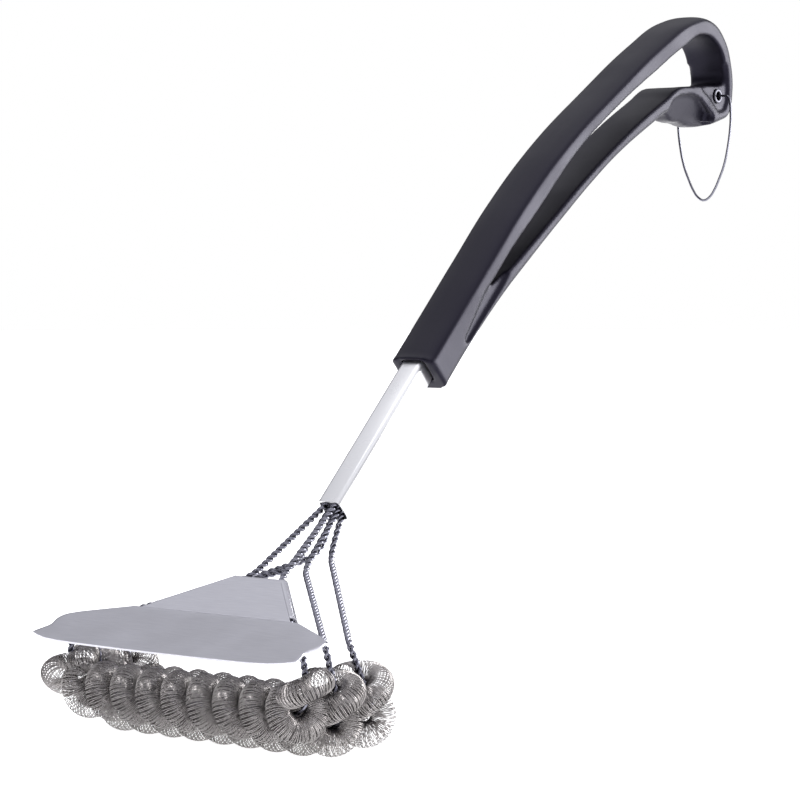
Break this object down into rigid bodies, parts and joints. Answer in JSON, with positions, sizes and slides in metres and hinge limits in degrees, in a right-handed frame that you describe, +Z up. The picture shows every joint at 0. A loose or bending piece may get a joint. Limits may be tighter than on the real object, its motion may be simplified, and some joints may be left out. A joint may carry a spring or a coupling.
{
  "type": "grill cleaning brush",
  "caption": "Long-handled grill cleaning brush without bristles: rows of coiled spring on twisted wire loops, a bent sheet scraper, a square tube neck and an open-loop handle with a hanging loop.",
  "frame": {"origin": "middle of the grip, on the plane half way between the sides, in the hand's space between the two straps", "axes": "+Z up as the brush hangs in the hand, +X to the right along the coil rows, -Y to the front where the scraper's edge is, +Y to the handle's hook"},
  "size_m": [0.1458, 0.4219, 0.316],
  "materials": {
    "handle_plastic": "black moulded plastic, satin",
    "tube_steel": "drawn stainless steel, fine grain along the tube",
    "sheet_steel": "brushed stainless sheet, soft sheen",
    "wire_steel": "bright drawn stainless wire",
    "spring_steel": "fine close-wound stainless spring wire"
  },
  "bodies": {
    "brush": {"handle": "handle_plastic", "neck_tube": "tube_steel", "eyelet": "tube_steel", "scraper": "sheet_steel", "front_strand_a": "wire_steel", "front_strand_b": "wire_steel", "middle_strand_a": "wire_steel", "middle_strand_b": "wire_steel", "rear_strand_a": "wire_steel", "rear_strand_b": "wire_steel", "front_coil": "spring_steel", "middle_coil": "spring_steel", "rear_coil": "spring_steel"},
    "hanging_loop": {"hanging_loop": "wire_steel"}
  },
  "joints": [
    {"name": "hanging_loop_swing", "type": "hinge", "parent": "brush", "child": "hanging_loop", "pos_m": [0, 0.1341, 0.0427], "axis": [1, 0, 0], "range_deg": [-55, 150]}
  ]
}
